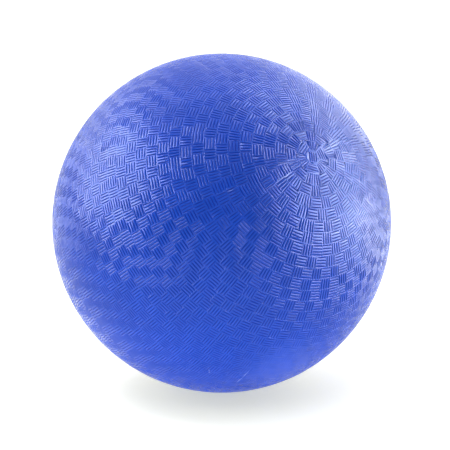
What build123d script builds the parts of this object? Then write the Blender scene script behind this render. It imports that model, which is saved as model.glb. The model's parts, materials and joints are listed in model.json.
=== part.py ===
from build123d import *
from math import sqrt
import os

# A rubber dodgeball of the 8.5 inch size: a moulded cover over a nylon-wound air bladder, with a
# self-sealing valve. Millimetres, +Z up, origin at the centre of the ball.

# Plies, from the outside in
ball_diameter = 216.0
cover_wall = 1.4
winding_wall = 0.25
bladder_wall = 0.75
bond_line = 0.05  # film of rubber cement between two bonded pieces
rest_sag = 0.5  # how far the floor presses the underside in under the ball's own weight

# Mould axis: one pole of the cover faces front, right and up, and the valve is at the other pole
mould_turn = 34.9  # degrees from straight ahead (-Y) towards +X
mould_lift = 30.9  # degrees above the level

# Patch that stiffens the bladder round the valve
patch_diameter = 44.0
patch_wall = 0.7

# Valve housing: a neck through the plies, a flange inside the patch and a stem into the air space
neck_diameter = 12.0
flange_diameter = 28.0
flange_wall = 1.2
stem_diameter = 11.0
stem_length = 15.0  # from the flange's inner face to the stem's end
stem_edge = 0.8  # rounding of the stem's inner end

# Valve plug: a soft core that seals round the needle and pulls out for replacement
plug_diameter = 6.0
plug_clearance = 0.05  # radial, between the plug and its socket
plug_head_diameter = 8.0
plug_head_depth = 1.4
plug_nose_diameter = 4.0
plug_nose_length = 3.0
plug_nose_reach = 0.8  # how far the nose stands out of the stem's end

# Needle guide in the plug
needle_guide_diameter = 2.2
needle_guide_depth = 5.0  # length of the round wall below the funnel
funnel_diameter = 3.6
funnel_depth = 0.9

# Radii that follow from the plies
cover_radius = ball_diameter / 2
winding_radius = cover_radius - cover_wall - bond_line
bladder_radius = winding_radius - winding_wall - bond_line
patch_radius = bladder_radius - bladder_wall - bond_line
flange_radius = patch_radius - patch_wall - bond_line
stem_root_radius = flange_radius - flange_wall

# The valve axis points out of the ball, down and to the back left, opposite the front pole
front_pole = Vector(0, -1, 0).rotate(Axis.X, -mould_lift).rotate(Axis.Z, mould_turn)
valve_out = front_pole * -1
valve_side = Vector(0, 0, 1).cross(valve_out).normalized()
valve_axis = Axis((0, 0, 0), valve_out)
valve_section = Plane((0, 0, 0), x_dir=valve_side, z_dir=valve_side.cross(valve_out))
valve_base = Plane((0, 0, 0), x_dir=valve_side, z_dir=valve_out)


def height_on(radius, offset):
    """How far along the valve axis a ply of this radius stands, at this distance from the axis."""
    return sqrt(radius**2 - offset**2)


def ply_section(outer_radius, wall):
    """Half section of one ply, flattened underneath by the sag that all the plies share."""
    inner_radius = outer_radius - wall
    outer_floor = rest_sag - outer_radius
    inner_floor = rest_sag - inner_radius
    outer_corner = (height_on(outer_radius, outer_floor), outer_floor)
    inner_corner = (height_on(inner_radius, inner_floor), inner_floor)
    with BuildSketch(Plane.XZ) as section:
        with BuildLine():
            Line((0, outer_floor), outer_corner)
            ThreePointArc(outer_corner, (outer_radius, 0), (0, outer_radius))
            Line((0, outer_radius), (0, inner_radius))
            ThreePointArc((0, inner_radius), (inner_radius, 0), inner_corner)
            Line(inner_corner, (0, inner_floor))
            Line((0, inner_floor), (0, outer_floor))
        make_face()
    return section.sketch


def disc_section(outer_radius, wall, hole_radius, rim_radius):
    """Half section of a round disc that lies inside a ply, with a hole round the valve axis."""
    inner_radius = outer_radius - wall
    middle = (hole_radius + rim_radius) / 2
    outer_points = [(x, height_on(outer_radius, x)) for x in (hole_radius, middle, rim_radius)]
    inner_points = [(x, height_on(inner_radius, x)) for x in (rim_radius - wall, middle, hole_radius)]
    with BuildSketch(valve_section) as section:
        with BuildLine():
            ThreePointArc(*outer_points)
            Line(outer_points[-1], inner_points[0])
            ThreePointArc(*inner_points)
            Line(inner_points[-1], outer_points[0])
        make_face()
    return section.sketch


neck_hole_radius = neck_diameter / 2 + bond_line
neck_top = height_on(cover_radius, neck_diameter / 2)
stem_end = stem_root_radius - stem_length
head_seat = neck_top - plug_head_depth
socket_radius = plug_diameter / 2 + plug_clearance
head_socket_radius = plug_head_diameter / 2 + plug_clearance

with BuildPart() as cover:
    revolve(ply_section(cover_radius, cover_wall), axis=Axis.Z)
    with BuildSketch(valve_base):
        Circle(neck_hole_radius)
    extrude(amount=ball_diameter, mode=Mode.SUBTRACT)

with BuildPart() as nylon_winding:
    revolve(ply_section(winding_radius, winding_wall), axis=Axis.Z)
    with BuildSketch(valve_base):
        Circle(neck_hole_radius)
    extrude(amount=ball_diameter, mode=Mode.SUBTRACT)

with BuildPart() as bladder:
    revolve(ply_section(bladder_radius, bladder_wall), axis=Axis.Z)
    with BuildSketch(valve_base):
        Circle(neck_hole_radius)
    extrude(amount=ball_diameter, mode=Mode.SUBTRACT)

with BuildPart() as valve_patch:
    revolve(disc_section(patch_radius, patch_wall, neck_hole_radius, patch_diameter / 2), axis=valve_axis)

with BuildPart() as valve_housing:
    # Flange, under the patch
    revolve(disc_section(flange_radius, flange_wall, socket_radius, flange_diameter / 2), axis=valve_axis)
    # Neck, out through the plies and flush with the cover
    with BuildSketch(valve_base.offset(stem_root_radius)):
        Circle(neck_diameter / 2)
    extrude(amount=neck_top - stem_root_radius)
    # Stem, into the air space, with its inner end rounded
    with BuildSketch(valve_base.offset(stem_end)):
        Circle(stem_diameter / 2)
    extrude(amount=stem_root_radius - stem_end)
    stem_rim = edges().filter_by(GeomType.CIRCLE).sort_by(valve_axis)[0]
    fillet(stem_rim, stem_edge)
    # Socket for the plug and the wider seat for its head
    with BuildSketch(valve_base):
        Circle(socket_radius)
    extrude(amount=ball_diameter, mode=Mode.SUBTRACT)
    with BuildSketch(valve_base.offset(head_seat)):
        Circle(head_socket_radius)
    extrude(amount=plug_head_depth, mode=Mode.SUBTRACT)

with BuildPart() as valve_plug:
    # Body, with a tapered nose that reaches past the stem
    nose_end = stem_end - plug_nose_reach
    nose_start = nose_end + plug_nose_length
    guide_top = neck_top - funnel_depth
    guide_floor = guide_top - needle_guide_depth
    guide_radius = needle_guide_diameter / 2
    with BuildSketch(valve_section):
        with BuildLine():
            Polyline(
                (0, nose_end),
                (plug_nose_diameter / 2, nose_end),
                (plug_diameter / 2, nose_start),
                (plug_diameter / 2, head_seat),
                (plug_head_diameter / 2, head_seat),
                (plug_head_diameter / 2, neck_top),
                (funnel_diameter / 2, neck_top),
                (guide_radius, guide_top),
                (guide_radius, guide_floor),
                (0, guide_floor),
                close=True,
            )
        make_face()
    revolve(axis=valve_axis)

os.makedirs("parts", exist_ok=True)

cover.part.label = "cover"
export_step(cover.part, "parts/cover.step")

nylon_winding.part.label = "nylon_winding"
export_step(nylon_winding.part, "parts/nylon_winding.step")

bladder.part.label = "bladder"
export_step(bladder.part, "parts/bladder.step")

valve_patch.part.label = "valve_patch"
export_step(valve_patch.part, "parts/valve_patch.step")

valve_housing.part.label = "valve_housing"
export_step(valve_housing.part, "parts/valve_housing.step")

valve_plug.part.label = "valve_plug"
export_step(valve_plug.part, "parts/valve_plug.step")

guide_middle = valve_out * ((guide_top + guide_floor) / 2)
print("rest patch at z", rest_sag - cover_radius)
print("valve axis, outward", [round(number, 6) for number in valve_out])
print("middle of the needle guide", [round(number, 4) for number in guide_middle])
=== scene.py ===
import json
import math

import bpy
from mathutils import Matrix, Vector


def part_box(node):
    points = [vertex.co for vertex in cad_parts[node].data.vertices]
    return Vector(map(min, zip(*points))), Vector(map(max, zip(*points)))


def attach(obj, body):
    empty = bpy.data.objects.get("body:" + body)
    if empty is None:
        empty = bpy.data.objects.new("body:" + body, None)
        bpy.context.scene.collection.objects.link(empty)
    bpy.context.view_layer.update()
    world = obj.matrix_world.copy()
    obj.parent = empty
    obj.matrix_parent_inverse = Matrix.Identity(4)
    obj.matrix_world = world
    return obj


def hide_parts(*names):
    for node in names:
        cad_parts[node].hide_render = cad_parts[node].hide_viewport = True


# The dodgeball's looks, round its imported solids: the moulded grip of the cover, every finish,
# the floor, the light and the camera. Metres, with the ball's centre at the origin.
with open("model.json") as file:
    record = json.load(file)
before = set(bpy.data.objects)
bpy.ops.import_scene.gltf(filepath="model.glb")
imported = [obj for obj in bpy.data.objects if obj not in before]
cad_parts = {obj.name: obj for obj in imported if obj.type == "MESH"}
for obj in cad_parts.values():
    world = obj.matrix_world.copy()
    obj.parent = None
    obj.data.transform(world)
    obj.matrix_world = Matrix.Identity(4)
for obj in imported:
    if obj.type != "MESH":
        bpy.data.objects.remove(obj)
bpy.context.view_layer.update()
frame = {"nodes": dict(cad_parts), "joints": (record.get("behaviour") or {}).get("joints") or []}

MM = 0.001
QUARTER_TURN = math.pi / 2
BALL_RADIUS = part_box("cover")[1].z
FLOOR_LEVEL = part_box("cover")[0].z
REST_SAG = BALL_RADIUS + FLOOR_LEVEL
VALVE_OUT = Vector(frame["joints"][0]["axis"]).normalized()
FRONT_POLE = -VALVE_OUT
COVER_WALL = 1.4 * MM
VALVE_HOLE_RADIUS = 6.05 * MM

# Where the photograph was taken from: straight ahead and a little above the ball
CAMERA_LIFT = math.radians(12)
CAMERA_RADII = 8.6  # distance from the ball's centre
CAMERA_LENS = 116.0
CAMERA_AIM = (2.1 * MM, -1.2 * MM)  # right and up of the ball's centre
TO_CAMERA = Vector((0, -math.cos(CAMERA_LIFT), math.sin(CAMERA_LIFT)))
VIEW_RIGHT = Vector((1, 0, 0))
VIEW_UP = Vector((0, math.sin(CAMERA_LIFT), math.cos(CAMERA_LIFT)))

# The grip: rings of tiles round each pole of the mould. Most tiles have four grooves, and one whose
# grooves run outward from the pole has as many as its width has room for.
RINGS = 24
TILES_ROUND = 100  # tiles that would go round the ball at the parting line
RING_STEP = QUARTER_TURN / (RINGS + 0.5)
WIDE_TILE = 1.5  # width of a wide tile, in plain ones
MIDDLE_REACH = 0.62  # the middle tile's circle, in ring steps
MIDDLE_SCALE = 0.88
MIDDLE_TURN = math.radians(53)
FIRST_CORNER = math.radians(225)  # from a tile's outward side round to the first of CORNERS
GROOVES = 4
GROOVE_PITCH = 1.7 * MM
GROOVE_HALF_WIDTH = 0.6 * MM
GROOVE_HALF_LENGTH = 3.3 * MM
GROOVE_DEPTH = 0.25 * MM
LEAST_LAND = 0.14 * MM  # plain rubber between a groove and the edge of its tile
MERGE = 0.3 * MM  # tile corners of two rings nearer than this share a point
WIDEST_TURN = math.radians(15)  # widest step between two points round a small ring
INSIDE_TURNS = 96
INSIDE_ROWS = 12

# One groove's wall, from its edge down: inset across, inset along, share of the depth
GROOVE_WALL = (
    (0.0, 0.0, 0.0),
    (0.17 * MM, 0.1 * MM, 0.12),
)
BOTTOM_INSET = 0.32 * MM  # from the groove's end to the end of its bottom
CORNERS = ((-1, -1), (1, -1), (1, 1), (-1, 1))  # outward from the pole, then round it

# The raised lip at the mould's parting line
LIP_WIDTH = 0.35 * MM
LIP_HEIGHT = 0.12 * MM

# The raised collar round the valve, from its hole out: distance from the valve's axis, height
COLLAR = (
    (VALVE_HOLE_RADIUS, -0.1 * MM),
    (6.5 * MM, 0.2 * MM),
    (7.7 * MM, 0.2 * MM),
    (8.2 * MM, 0.0),
)

# The front half's rings from the pole out, measured on the photograph in degrees round the pole and
# rounded: where a tile with outward grooves is centred, which such tiles are wide ones, and where two
# neighbouring tiles have their grooves the same way
FRONT_RINGS = (
    (-17, (), ()),
    (-10, (52, 177, -69), ()),
    (55, (12, 133, -98), ()),
    (6, (39, -50, 180), ()),
    (17, (180,), ()),
    (6, (49, -100, 170), (-8.5,)),
    (-0.5, (-68, 150), ()),
    (7.5, (-10, 160), (64,)),
    (2.5, (), ()),
    (6.5, (), (27, -49)),
    (10.5, (), ()),
    (5.5, (), (-33, 77)),
    (9.5, (22,), ()),
    (3, (), ()),
    (5.5, (), (22,)),
    (8, (), (75,)),
    (5, (-13,), ()),
    (2, (-15,), ()),
    (7.5, (), ()),
    (2.5, (), ()),
    (5.5, (), ()),
    (10, (), ()),
    (6, (), ()),
    (10.5, (), ()),
)
# The valve half repeats these rings, each turned by this many degrees more than the one before
BACK_TWIST = 137.5


def seen_at(right, up):
    """The way from the ball's centre to what the camera sees, at these shares of the outline's radius."""
    share = math.hypot(right, up)
    slant = math.atan(share * math.tan(math.asin(1 / CAMERA_RADII)))
    polar = math.asin(CAMERA_RADII * math.sin(slant)) - slant
    level = (VIEW_RIGHT * right + VIEW_UP * up) / share
    return TO_CAMERA * math.cos(polar) + level * math.sin(polar)


# Where the grip is worn, how far the wear reaches, the share of that reach that is worn evenly, and
# the share of the grooves' depth that is left there
WORN_SPOT = seen_at(0.36, -0.85)
WORN_REACH = math.radians(19)
WORN_EVENLY = 0.375
WORN_LEAST = 0.55

# Thin scuffs as the camera sees them: begin, end and strength
SCUFFS = (
    ((0.18, -0.855), (0.07, -0.955), 0.7),
    ((0.10, -0.93), (-0.02, -0.945), 0.5),
    ((-0.08, -0.80), (-0.06, -0.92), 0.4),
)
SCUFF_CORE = 0.1 * MM  # from a scuff's middle line to where it starts to fade
SCUFF_EDGE = 0.5 * MM  # from its middle line to where it ends
SCUFF_SWAY = 1.2 * MM  # how far a scuff wanders off its line
SCUFF_WANDER = 6 * MM  # over about this length

# Colours of the cover's rubber, from the deepest to the palest. The deepest is painted shade for the
# bottoms of the grooves
COVER_GROOVE_SHADE = (0.003, 0.015, 0.2, 1)
COVER_DEEP = (0.005, 0.047, 0.4, 1)
COVER_BRIGHT = (0.007, 0.053, 0.44, 1)
COVER_RUBBED = (0.08, 0.16, 0.62, 1)
COVER_SCUFF = (0.3, 0.4, 0.8, 1)

# How the cover's rubber varies: the sizes of its patches, dust and grain, and the shares of each tint
COVER_PATCH = 22 * MM
COVER_DUST = 1.2 * MM
COVER_GRAIN = 0.35 * MM
COVER_GRAIN_DEPTH = 0.004 * MM
DUST_TINT = 0.05
WORN_TINT = 0.03
# The next share is how much painted shade darkens a groove's bottom
GROOVE_SHADE_TINT = 0.75
GROOVE_MATT = 0.9  # share of the coat that a groove lacks
# Painted shade darkens a groove between these depths
GROOVE_SHADE = (0.4 * GROOVE_DEPTH, 0.85 * GROOVE_DEPTH)  # depths between which a groove darkens

# Colours of the other pieces
VALVE_DEEP = (0.014, 0.032, 0.2, 1)
VALVE_DUSTY = (0.024, 0.052, 0.29, 1)
PLUG_DEEP = (0.018, 0.018, 0.02, 1)
PLUG_PALE = (0.032, 0.032, 0.034, 1)
PLUG_TALC = (0.3, 0.3, 0.3, 1)
BLADDER_BLACK = (0.025, 0.025, 0.027, 1)
BLADDER_TALC = (0.25, 0.25, 0.25, 1)
WINDING_RUBBER = (0.3, 0.28, 0.25, 1)
WINDING_THREAD = (0.78, 0.77, 0.73, 1)

# Each layer of nylon lies in parallel rings: a direction in the plane of each layer's rings, and the
# wave texture's unit, of which the threads come out a third to a half apart
THREAD_WAYS = ((1, 0.2, 0.1), (-0.3, 1, 0.4), (0.1, -0.5, 1))
THREAD_UNIT = 3 * MM

# The floor and the room
FLOOR_REACH = 40.0
FLOOR_WHITE = (0.96, 0.95, 0.87, 1)
FLOOR_NEAR = (0.97, 0.91, 0.61, 1)  # against the blue that the ball throws on it
FLOOR_NEAR_REACH = 1.36 * BALL_RADIUS
FLOOR_GLOW = (0.54, 0.53, 0.35, 1)
ROOM_WHITE = (1, 1, 1, 1)
ROOM_FRONT = 0.14
ROOM_BACK = 1.5
ROOM_FADE = (-0.9, 0.7)  # from front to back, where -1 is the camera's side and 1 the far side

# The lamps: name, way to it from the ball's centre, distance, width, height and power in watts. The
# sheen lamps show only in reflections, and the fill lamps give only plain light.
SOFTBOX_WHITE = (0.94, 1.0, 1.05)
TABLE_GAP = 0.3 * MM  # the light table's height above the floor
SHEEN_LAMPS = (
    ("right_softbox", (0.93, -0.22, 0.27), 0.6, 0.75, 0.46, 19.5),
    ("low_softbox", (0.94, -0.15, -0.08), 0.33, 0.42, 0.17, 1.8),
    ("left_softbox", (-0.88, -0.12, 0.43), 0.8, 0.76, 0.72, 29.0),
    ("overhead_softbox", (0.6, 0.25, 0.77), 0.9, 0.8, 0.8, 15.0),
    ("back_right_softbox", (0.55, 0.8, 0.35), 1.0, 0.8, 0.5, 2.0),
    ("back_left_softbox", (-0.75, 0.6, 0.42), 1.0, 0.7, 0.5, 2.2),
    ("top_softbox", (-0.1, 0.1, 1.0), 1.0, 1.0, 1.0, 5.0),
)
FILL_LAMPS = (
    ("top_fill", (-0.2, 0.1, 1.0), 1.3, 1.3, 1.3, 16.0),
    ("high_fill", (-0.05, -0.6, 0.8), 1.2, 0.65, 0.65, 3.0),
    ("left_fill", (-0.85, -0.4, 0.4), 1.2, 0.8, 0.8, 2.4),
    ("light_table", (0, 0, -1), -FLOOR_LEVEL - TABLE_GAP, 0.6, 0.6, 1.3),
)


def turn_gap(a, b):
    """The angle from b to a round a circle, between minus and plus half a turn."""
    return (a - b + math.pi) % math.tau - math.pi


def smooth(value):
    """Eases a value from 0 to 1, and holds it at both ends."""
    value = min(1.0, max(0.0, value))
    return value * value * (3 - 2 * value)


def grip_left(direction):
    """How much of the groove's depth is left: less where the ball is worn."""
    away = direction.angle(WORN_SPOT) / WORN_REACH
    return WORN_LEAST + (1 - WORN_LEAST) * smooth((away - WORN_EVENLY) / (1 - WORN_EVENLY))


class Tile:
    """A small flat patch of the cover, measured outward from the pole and round it."""

    def __init__(self, centre, outward, half_height, height, near_width, far_width):
        self.centre = centre
        self.outward = outward
        self.round = centre.cross(outward)
        self.half_height = half_height
        # Shares of the grooves' full size that the tile has room for
        self.height = height
        self.near_width = near_width
        self.far_width = far_width

    def direction(self, out, side):
        """The way from the ball's centre to a place on the tile, given in the grooves' full size."""
        out *= self.height
        share = (out / self.half_height + 1) / 2
        side *= self.near_width + (self.far_width - self.near_width) * share
        return (self.centre * BALL_RADIUS + self.outward * out + self.round * side).normalized()


class HalfCover:
    """One half of the cover, built as a closed mesh of points and faces round a pole of the mould."""

    def __init__(self, pole, meridian):
        self.pole = pole
        self.ahead = (meridian - pole * meridian.dot(pole)).normalized()
        self.aside = pole.cross(self.ahead)
        self.points = []
        self.faces = []
        self.crisp = set()

    def direction(self, polar, turn):
        """The way from the ball's centre at this angle from the pole and this turn round it."""
        level = self.ahead * math.cos(turn) + self.aside * math.sin(turn)
        return self.pole * math.cos(polar) + level * math.sin(polar)

    def add(self, direction, height=0.0, radius=BALL_RADIUS):
        """A point on or off a round ply, pressed up where the ball rests on the floor."""
        press = max(0.0, REST_SAG - radius * (1 + direction.z))
        self.points.append(direction * (radius + height) + Vector((0, 0, press)))
        return len(self.points) - 1

    def row(self, polar, turns, height=0.0, radius=BALL_RADIUS):
        """Points on a circle round the pole, as (turn, point)."""
        return [(turn, self.add(self.direction(polar, turn), height, radius)) for turn in turns]

    def strip(self, near, far):
        """Faces between two rows of equally many points, the first nearer to the pole."""
        for i in range(len(near)):
            j = (i + 1) % len(near)
            self.faces.append((near[i][1], far[i][1], far[j][1], near[j][1]))

    def stitch(self, outside, inside):
        """Triangles between two loops of (place, point), whose places run from 0 to 4 round the loop."""
        i = j = 0
        while i < len(outside) or j < len(inside):
            out_next = outside[i + 1][0] if i + 1 < len(outside) else 4.0
            in_next = inside[j + 1][0] if j + 1 < len(inside) else 4.0
            here = outside[i % len(outside)][1]
            there = inside[j % len(inside)][1]
            if j == len(inside) or (i < len(outside) and out_next <= in_next):
                i += 1
                self.faces.append((here, outside[i % len(outside)][1], there))
            else:
                j += 1
                self.faces.append((here, inside[j % len(inside)][1], there))

    def stitch_rows(self, outside, inside):
        """Triangles between two rows round the pole, the second one nearer to it."""
        self.stitch(
            [(turn / QUARTER_TURN, point) for turn, point in outside],
            [(turn / QUARTER_TURN, point) for turn, point in inside],
        )

    def groove(self, tile, out, side, outward, depth):
        """One groove, as nested outlines down to the line of its bottom. Gives its edge's corner points."""
        rows = []
        for across, along, share in GROOVE_WALL:
            half_width = GROOVE_HALF_WIDTH - across
            half_length = GROOVE_HALF_LENGTH - along
            half_out, half_side = (half_length, half_width) if outward else (half_width, half_length)
            places = [(out + a * half_out, side + b * half_side) for a, b in CORNERS]
            rows.append([self.add(tile.direction(*place), -depth * share) for place in places])
        for upper, lower in zip(rows, rows[1:]):
            for i in range(4):
                j = (i + 1) % 4
                self.crisp.add(len(self.faces))
                self.faces.append((upper[i], upper[j], lower[j], lower[i]))
        reach = GROOVE_HALF_LENGTH - BOTTOM_INSET
        tips = [(out + end * reach, side) if outward else (out, side + end * reach) for end in (-1, 1)]
        first, last = [self.add(tile.direction(*place), -depth) for place in tips]
        a, b, c, d = rows[-1] if outward else rows[-1][1:] + rows[-1][:1]
        self.crisp.update(range(len(self.faces), len(self.faces) + 4))
        self.faces += [(a, b, last, first), (b, c, last), (c, d, first, last), (d, a, first)]
        return rows[0]

    def grooves(self, tile, outward, count=GROOVES):
        """A tile's grooves and the lands between them. Gives the loop round them, as (place, point)."""
        depth = GROOVE_DEPTH * grip_left(tile.centre)
        middles = [(n - (count - 1) / 2) * GROOVE_PITCH for n in range(count)]
        if outward:
            cut = [self.groove(tile, 0.0, middle, True, depth) for middle in middles]
            for low, high in zip(cut, cut[1:]):
                self.faces.append((low[3], low[2], high[1], high[0]))
        else:
            cut = [self.groove(tile, middle, 0.0, False, depth) for middle in middles]
            for low, high in zip(cut, cut[1:]):
                self.faces.append((low[1], high[0], high[3], low[2]))
        first = middles[0] - GROOVE_HALF_WIDTH
        edges = [middle + end * GROOVE_HALF_WIDTH for middle in middles for end in (-1, 1)]
        shares = [(edge - first) / (edges[-1] - first) for edge in edges]
        going, coming = ((1, 2), (3, 0)) if outward else ((0, 1), (2, 3))
        there = [corners[i] for corners in cut for i in going]
        back = [corners[i] for corners in reversed(cut) for i in coming]
        start = 1 if outward else 0
        loop = [(start + share, point) for share, point in zip(shares, there)]
        loop += [(start + 2 + share, point) for share, point in zip(shares, back)]
        return [(0.0, loop.pop()[1])] + loop if outward else loop

    def cell(self, near, far, polar_near, polar_far, turn, width, outward):
        """One tile of a ring: its grooves, stitched to its stretches of the rows on either side."""
        polar = (polar_near + polar_far) / 2
        half_height = BALL_RADIUS * (polar_far - polar_near) / 2
        half_widths = [BALL_RADIUS * math.sin(edge) * width / 2 for edge in (polar_near, polar_far)]
        count = round(sum(half_widths) / GROOVE_PITCH) if outward else GROOVES
        across = GROOVE_PITCH * (count - 1) / 2 + GROOVE_HALF_WIDTH
        reaches = (GROOVE_HALF_LENGTH, across, across)
        if not outward:
            reaches = (across, GROOVE_HALF_LENGTH, GROOVE_HALF_LENGTH)
        room = zip((half_height, *half_widths), reaches)
        shares = [(half - LEAST_LAND) / reach for half, reach in room]
        downhill = self.direction(polar + QUARTER_TURN, turn)
        tile = Tile(self.direction(polar, turn), downhill, half_height, *shares)
        left, right = turn - width / 2, turn + width / 2
        inner = stretch(near, left, right)
        outer = stretch(far, left, right)
        rim = [(0.0, inner[0][1])]
        rim += [(1 + place, point) for place, point in outer]
        rim += [(4 - place, point) for place, point in reversed(inner[1:])]
        self.stitch(rim, self.grooves(tile, outward, count))

    def middle_tile(self, rim, turn):
        """The tile at the pole itself, inside the first row."""
        shares = (MIDDLE_SCALE,) * 3
        tile = Tile(self.pole, self.direction(QUARTER_TURN, turn), GROOVE_HALF_LENGTH, *shares)
        start = turn + FIRST_CORNER
        placed = sorted(((there - start) % math.tau / QUARTER_TURN, point) for there, point in rim)
        self.stitch(placed, self.grooves(tile, True))

    def ring(self, number, first, wides, doubles):
        """The tiles of one ring, as (turn, width, whether its grooves run outward)."""
        step = math.tau / (TILES_ROUND * math.sin(number * RING_STEP))
        half_wide = step * WIDE_TILE / 2
        start = first - step / 2
        tiles = []
        for way in (1, -1):
            edge = start
            outward = way > 0
            while abs(edge - start) < math.pi - step / 2:
                middle = edge + way * half_wide
                wide = outward and any(abs(turn_gap(at, middle)) < half_wide for at in wides)
                width = step * WIDE_TILE if wide else step
                tiles.append((edge + way * width / 2, width, outward))
                edge += way * width
                if all(abs(turn_gap(at, edge)) > step / 2 for at in doubles):
                    outward = not outward
        scale = math.tau / sum(width for turn, width, outward in tiles)
        return [(start + (turn - start) * scale, width * scale, outward) for turn, width, outward in tiles]

    def rows_between(self, rings, polars):
        """The rows of points on which the rings meet, each with both its rings' tile corners."""
        rows = []
        for number, polar in enumerate(polars):
            corners = []
            for tiles in rings[max(0, number - 1) : number + 1]:
                corners += [(turn - width / 2) % math.tau for turn, width, outward in tiles]
            kept = []
            least = MERGE / (BALL_RADIUS * math.sin(polar))
            for corner in sorted(corners):
                if not kept or corner - kept[-1] > least:
                    kept.append(corner)
            if kept[0] + math.tau - kept[-1] < least:
                kept.pop()
            filled = []
            for here, there in zip(kept, kept[1:] + [kept[0] + math.tau]):
                steps = math.ceil((there - here) / WIDEST_TURN)
                filled += [here + (there - here) * n / steps for n in range(steps)]
            rows.append(self.row(polar, sorted(turn % math.tau for turn in filled)))
        return rows

    def inside(self, last, hole_radius):
        """The cover's rim at the parting line, its inner face and the pole or the hole in it."""
        radius = BALL_RADIUS - COVER_WALL
        turns = [math.tau * n / INSIDE_TURNS for n in range(INSIDE_TURNS)]
        end = math.asin(hole_radius / radius)
        before = self.row(QUARTER_TURN, turns, radius=radius)
        self.stitch_rows(before, last)
        for n in range(1, INSIDE_ROWS):
            polar = QUARTER_TURN + (end - QUARTER_TURN) * n / INSIDE_ROWS
            after = self.row(polar, turns, radius=radius)
            self.strip(before, after)
            before = after
        if hole_radius:
            after = self.row(end, turns, radius=radius)
            self.strip(before, after)
            return after
        top = self.add(self.pole, radius=radius)
        rim = [point for turn, point in before]
        for here, there in zip(rim, rim[1:] + rim[:1]):
            self.faces.append((here, top, there))
        return None

    def collar(self, before, far):
        """The wall of the valve's hole and the raised collar round it, out to the first row."""
        turns = [turn for turn, point in before]
        for reach, height in COLLAR:
            after = self.row(math.asin(reach / BALL_RADIUS), turns, height)
            self.strip(before, after)
            before = after
        self.stitch_rows(far, before)

    def build(self, name, rings, valve):
        """The whole half, as a mesh object."""
        lip = QUARTER_TURN - LIP_WIDTH / BALL_RADIUS
        polars = [(n + 0.5) * RING_STEP for n in range(RINGS)] + [lip]
        polars[0] = MIDDLE_REACH * RING_STEP
        if valve:
            rings = rings[1:]
            polars = polars[1:]
        rows = self.rows_between(rings, polars)
        for number, tiles in enumerate(rings):
            for tile in tiles:
                self.cell(rows[number], rows[number + 1], polars[number], polars[number + 1], *tile)
        crest = self.row(QUARTER_TURN, [turn for turn, point in rows[-1]], LIP_HEIGHT)
        self.strip(rows[-1], crest)
        hole = self.inside(crest, VALVE_HOLE_RADIUS if valve else 0.0)
        if valve:
            self.collar(hole, rows[0])
        else:
            self.middle_tile(rows[0], MIDDLE_TURN)
        mesh = bpy.data.meshes.new(name)
        mesh.from_pydata(self.points, [], self.faces)
        mesh.polygons.foreach_set("use_smooth", [n not in self.crisp for n in range(len(self.faces))])
        half = bpy.data.objects.new(name, mesh)
        bpy.context.scene.collection.objects.link(half)
        return half


def stretch(row, left, right):
    """The row's points from one turn to another, as (share of the way, point)."""
    start = min(range(len(row)), key=lambda n: abs(turn_gap(row[n][0], left)))
    stop = min(range(len(row)), key=lambda n: abs(turn_gap(row[n][0], right)))
    count = (stop - start) % len(row)
    inner = [row[(start + n) % len(row)] for n in range(count + 1)]
    shares = [turn_gap(turn, left) / (right - left) for turn, point in inner]
    shares[0], shares[-1] = 0.0, 1.0
    return [(share, point) for share, (turn, point) in zip(shares, inner)]


def cover_halves():
    """The two halves of the cover, which meet at the mould's parting line."""
    front = HalfCover(FRONT_POLE, TO_CAMERA)
    back = HalfCover(VALVE_OUT, TO_CAMERA)
    front_rings = []
    back_rings = []
    for number, (first, wides, doubles) in enumerate(FRONT_RINGS, start=1):
        for half, rings, twist in ((front, front_rings, 0.0), (back, back_rings, BACK_TWIST * number)):
            placed = [[math.radians(at + twist) for at in places] for places in ((first,), wides, doubles)]
            rings.append(half.ring(number, placed[0][0], placed[1], placed[2]))
    return front.build("cover_front", front_rings, False), back.build("cover_back", back_rings, True)


class Shade:
    """One socket of a node tree. Arithmetic on it adds Math nodes to that tree."""

    def __init__(self, tree, socket=None):
        self.tree = tree
        self.socket = socket

    def node(self, kind, settings=None, sockets=None, output=0):
        """Adds a node: its settings first, then the values or links of its sockets. Gives one output."""
        made = self.tree.nodes.new(kind)
        for name, value in (settings or {}).items():
            setattr(made, name, value)
        for name, value in (sockets or {}).items():
            if isinstance(value, Shade):
                self.tree.links.new(value.socket, made.inputs[name])
            else:
                made.inputs[name].default_value = value
        return Shade(self.tree, made.outputs[output] if made.outputs else None)

    def __add__(self, other):
        return self.node("ShaderNodeMath", {"operation": "ADD"}, {0: self, 1: other})

    def __sub__(self, other):
        return self.node("ShaderNodeMath", {"operation": "SUBTRACT"}, {0: self, 1: other})

    def __rsub__(self, other):
        return self.node("ShaderNodeMath", {"operation": "SUBTRACT"}, {0: other, 1: self})

    def __mul__(self, other):
        return self.node("ShaderNodeMath", {"operation": "MULTIPLY"}, {0: self, 1: other})

    __radd__ = __add__
    __rmul__ = __mul__


def higher(first, second):
    """The higher of two values."""
    return first.node("ShaderNodeMath", {"operation": "MAXIMUM"}, {0: first, 1: second})


def eased(value, low, high, start=0.0, end=1.0):
    """Goes smoothly from start to end as the value goes from low to high."""
    ends = {"From Min": low, "From Max": high, "To Min": start, "To Max": end}
    return value.node("ShaderNodeMapRange", {"interpolation_type": "SMOOTHSTEP"}, {"Value": value, **ends})


def mixed(factor, first, second):
    """A colour between two others."""
    return factor.node("ShaderNodeMix", {"data_type": "RGBA"}, {0: factor, 6: first, 7: second}, 2)


def speckle(place, size, detail=2.0):
    """Soft random patches of about this size, from 0 to 1."""
    return place.node("ShaderNodeTexNoise", {}, {"Vector": place, "Scale": 1 / size, "Detail": detail})


def along(place, way):
    """How far a place lies along a direction."""
    return place.node("ShaderNodeVectorMath", {"operation": "DOT_PRODUCT"}, {0: place, 1: way}, "Value")


def from_centre(place):
    """How far a place lies from the ball's centre."""
    return place.node("ShaderNodeVectorMath", {"operation": "LENGTH"}, {0: place}, "Value")


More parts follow.
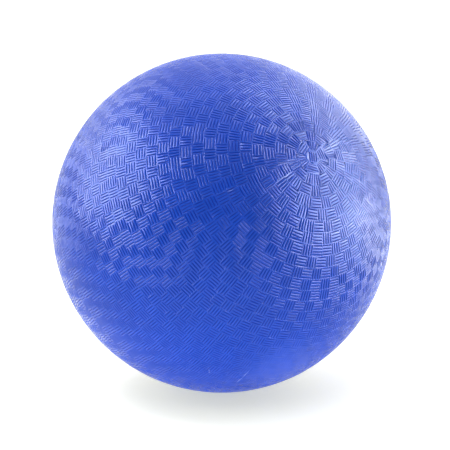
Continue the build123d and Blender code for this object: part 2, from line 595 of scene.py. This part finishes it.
def grained(height, depth):
    """A surface's normal, roughened by a height from 0 to 1 over this depth."""
    return height.node("ShaderNodeBump", {}, {"Height": height, "Strength": 1.0, "Distance": depth})


def new_material(name):
    """An empty material, and the start of its nodes."""
    material = bpy.data.materials.new(name)
    material.use_nodes = True
    material.node_tree.nodes.clear()
    return material, Shade(material.node_tree)


def surface(start, sockets):
    """Gives a material its one surface."""
    made = start.node("ShaderNodeBsdfPrincipled", {}, sockets)
    start.node("ShaderNodeOutputMaterial", {}, {"Surface": made})


def scuff(place, begin, end):
    """A thin scratch from one point of the cover to another: 1 on it and 0 beside it."""
    run = end - begin
    from_begin = place.node("ShaderNodeVectorMath", {"operation": "SUBTRACT"}, {0: place, 1: begin})
    share = along(from_begin, run / run.length_squared)
    held = share.node("ShaderNodeClamp", {}, {"Value": share})
    nearest = held.node("ShaderNodeVectorMath", {"operation": "SCALE"}, {0: run, "Scale": held})
    apart = {0: from_begin, 1: nearest}
    distance = nearest.node("ShaderNodeVectorMath", {"operation": "DISTANCE"}, apart, "Value")
    return eased(distance, SCUFF_CORE, SCUFF_EDGE, 1.0, 0.0)


def cover_rubber():
    """Moulded blue rubber: mottled, with painted shade in its grooves, paler where it is rubbed and
    scuffed.
    """
    material, start = new_material("cover_rubber")
    place = start.node("ShaderNodeTexCoord", output="Object")
    groove = eased(BALL_RADIUS - from_centre(place), *GROOVE_SHADE)
    worn = eased(along(place, WORN_SPOT / BALL_RADIUS), math.cos(WORN_REACH), 1.0)
    patches = speckle(place, COVER_PATCH, 4.0)
    dust = speckle(place, COVER_DUST, 3.0)
    grain = speckle(place, COVER_GRAIN)
    colour = mixed(eased(patches, 0.35, 0.65), COVER_DEEP, COVER_BRIGHT)
    colour = mixed(eased(dust, 0.45, 0.75) * (1 - groove) * DUST_TINT, colour, COVER_RUBBED)
    colour = mixed(worn * WORN_TINT, colour, COVER_RUBBED)
    # Painted shade, darker towards the bottom of each groove
    colour = mixed(groove * GROOVE_SHADE_TINT, colour, COVER_GROOVE_SHADE)
    wander = place.node("ShaderNodeTexNoise", {}, {"Vector": place, "Scale": 1 / SCUFF_WANDER}, "Color")
    sway = {0: wander, 1: (SCUFF_SWAY,) * 3, 2: place}
    swayed = wander.node("ShaderNodeVectorMath", {"operation": "MULTIPLY_ADD"}, sway)
    for begin, end, strength in SCUFFS:
        line = scuff(swayed, seen_at(*begin) * BALL_RADIUS, seen_at(*end) * BALL_RADIUS)
        colour = mixed(line * eased(dust, 0.3, 0.6) * strength, colour, COVER_SCUFF)
    surface(start, {
        "Base Color": colour,
        "Roughness": 0.45 + patches * 0.1 + dust * 0.1,
        "Coat Weight": 1 - groove * GROOVE_MATT,
        "Normal": grained(grain, COVER_GRAIN_DEPTH),
        "Specular IOR Level": 0.0,
        "Coat Roughness": 0.21,
        "Coat IOR": 1.3,
    })
    return material


def valve_rubber():
    """Dark blue rubber of the valve's neck, matt and a little dusty."""
    material, start = new_material("valve_rubber")
    place = start.node("ShaderNodeTexCoord", output="Object")
    patches = speckle(place, 4 * MM, 3.0)
    grain = speckle(place, 0.3 * MM)
    surface(start, {
        "Base Color": mixed(eased(patches, 0.35, 0.7), VALVE_DEEP, VALVE_DUSTY),
        "Roughness": 0.46 + patches * 0.16,
        "Normal": grained(grain, 0.02 * MM),
    })
    return material


def plug_rubber():
    """Soft black rubber of the valve's core, with pale talc in its pores."""
    material, start = new_material("plug_rubber")
    place = start.node("ShaderNodeTexCoord", output="Object")
    patches = speckle(place, 2.5 * MM, 3.0)
    talc = speckle(place, 0.25 * MM, 3.0)
    colour = mixed(eased(patches, 0.35, 0.7), PLUG_DEEP, PLUG_PALE)
    surface(start, {
        "Base Color": mixed(eased(talc, 0.62, 0.8) * 0.25, colour, PLUG_TALC),
        "Roughness": 0.5 + patches * 0.2,
        "Normal": grained(talc, 0.015 * MM),
    })
    return material


def bladder_rubber():
    """Smooth black butyl, dusted with talc as it comes off its former."""
    material, start = new_material("bladder_rubber")
    place = start.node("ShaderNodeTexCoord", output="Object")
    patches = speckle(place, 30 * MM, 4.0)
    talc = speckle(place, 1.5 * MM, 4.0)
    dusted = eased(patches, 0.4, 0.7) * eased(talc, 0.35, 0.75) * 0.3
    surface(start, {
        "Base Color": mixed(dusted, BLADDER_BLACK, BLADDER_TALC),
        "Roughness": 0.38 + dusted,
        "Normal": grained(patches, 0.05 * MM),
    })
    return material


def wound(place, way):
    """One layer of thread, in parallel rings: 1 on a thread and 0 between two."""
    turned = place.node("ShaderNodeVectorMath", {"operation": "CROSS_PRODUCT"}, {0: place, 1: way})
    bands = {"Vector": turned, "Scale": 1 / THREAD_UNIT, "Distortion": 0.6}
    wave = turned.node("ShaderNodeTexWave", {"bands_direction": "DIAGONAL"}, bands, "Fac")
    return eased(wave, 0.5, 0.8)


def winding_nylon():
    """Nylon thread wound over itself in three directions, and the rubber between the threads."""
    material, start = new_material("winding_nylon")
    place = start.node("ShaderNodeTexCoord", output="Object")
    first, second, third = [wound(place, way) for way in THREAD_WAYS]
    thread = higher(higher(first, second), third)
    surface(start, {
        "Base Color": mixed(thread, WINDING_RUBBER, WINDING_THREAD),
        "Roughness": 0.75 - thread * 0.2,
        "Normal": grained(thread, 0.12 * MM),
    })
    return material


def white_floor():
    """A wide white floor, warmer near the ball. The camera and reflections see it brightened."""
    corners = [(x * FLOOR_REACH, y * FLOOR_REACH, FLOOR_LEVEL) for x, y in CORNERS]
    mesh = bpy.data.meshes.new("floor")
    mesh.from_pydata(corners, [], [(0, 1, 2, 3)])
    floor = bpy.data.objects.new("floor", mesh)
    bpy.context.scene.collection.objects.link(floor)
    material, start = new_material("white_floor")
    place = start.node("ShaderNodeTexCoord", output="Object")
    colour = mixed(eased(from_centre(place), BALL_RADIUS, FLOOR_NEAR_REACH), FLOOR_NEAR, FLOOR_WHITE)
    plain = start.node("ShaderNodeBsdfDiffuse", {}, {"Color": colour})
    dark = start.node("ShaderNodeEmission", {}, {"Strength": 0.0})
    glow = start.node("ShaderNodeEmission", {}, {"Color": FLOOR_GLOW, "Strength": 1.0})
    rays = ("Is Camera Ray", "Is Glossy Ray", "Is Transmission Ray")
    seen = sum(start.node("ShaderNodeLightPath", output=ray) for ray in rays)
    lift = start.node("ShaderNodeMixShader", {}, {0: seen, 1: dark, 2: glow})
    lit = start.node("ShaderNodeAddShader", {}, {0: plain, 1: lift})
    start.node("ShaderNodeOutputMaterial", {}, {"Surface": lit})
    mesh.materials.append(material)


def studio_world():
    """A white room round the ball, dim on the camera's side."""
    world = bpy.data.worlds.new("studio")
    world.use_nodes = True
    world.node_tree.nodes.clear()
    start = Shade(world.node_tree)
    way = start.node("ShaderNodeTexCoord", output="Generated")
    behind = eased(along(way, -TO_CAMERA), *ROOM_FADE)
    dim = start.node("ShaderNodeBackground", {}, {"Color": ROOM_WHITE, "Strength": ROOM_FRONT})
    bright = start.node("ShaderNodeBackground", {}, {"Color": ROOM_WHITE, "Strength": ROOM_BACK})
    room = start.node("ShaderNodeMixShader", {}, {0: behind, 1: dim, 2: bright})
    start.node("ShaderNodeOutputWorld", {}, {"Surface": room})
    bpy.context.scene.world = world


def softbox(name, way, distance, width, height, power, sheen):
    """A soft lamp that faces the ball, and gives it either sheen or plain light."""
    data = bpy.data.lights.new(name, "AREA")
    data.shape = "RECTANGLE"
    data.size = width
    data.size_y = height
    data.energy = power
    data.color = SOFTBOX_WHITE
    lamp = bpy.data.objects.new(name, data)
    bpy.context.scene.collection.objects.link(lamp)
    lamp.visible_camera = False
    lamp.visible_diffuse = not sheen
    lamp.visible_glossy = sheen
    lamp.location = Vector(way).normalized() * distance
    lamp.rotation_euler = (-lamp.location).to_track_quat("-Z", "Y").to_euler()


def photograph_camera():
    """The camera, where the photograph was taken from."""
    data = bpy.data.cameras.new("camera")
    data.lens = CAMERA_LENS
    camera = bpy.data.objects.new("camera", data)
    bpy.context.scene.collection.objects.link(camera)
    aim = VIEW_RIGHT * CAMERA_AIM[0] + VIEW_UP * CAMERA_AIM[1]
    camera.location = TO_CAMERA * CAMERA_RADII * BALL_RADIUS
    camera.rotation_euler = (aim - camera.location).to_track_quat("-Z", "Y").to_euler()
    bpy.context.scene.camera = camera


rubber = cover_rubber()
for half in cover_halves():
    half.data.materials.append(rubber)
    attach(half, "ball")
    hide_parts("cover")

bladder_finish = bladder_rubber()
finishes = {
    "nylon_winding": winding_nylon(),
    "bladder": bladder_finish,
    "valve_patch": bladder_finish,
    "valve_housing": valve_rubber(),
    "valve_plug": plug_rubber(),
}
for node, finish in finishes.items():
    frame["nodes"][node].material_slots[0].material = finish

white_floor()
studio_world()
for lamp in SHEEN_LAMPS:
    softbox(*lamp, sheen=True)
for lamp in FILL_LAMPS:
    softbox(*lamp, sheen=False)
photograph_camera()
bpy.context.scene.view_settings.view_transform = "Standard"
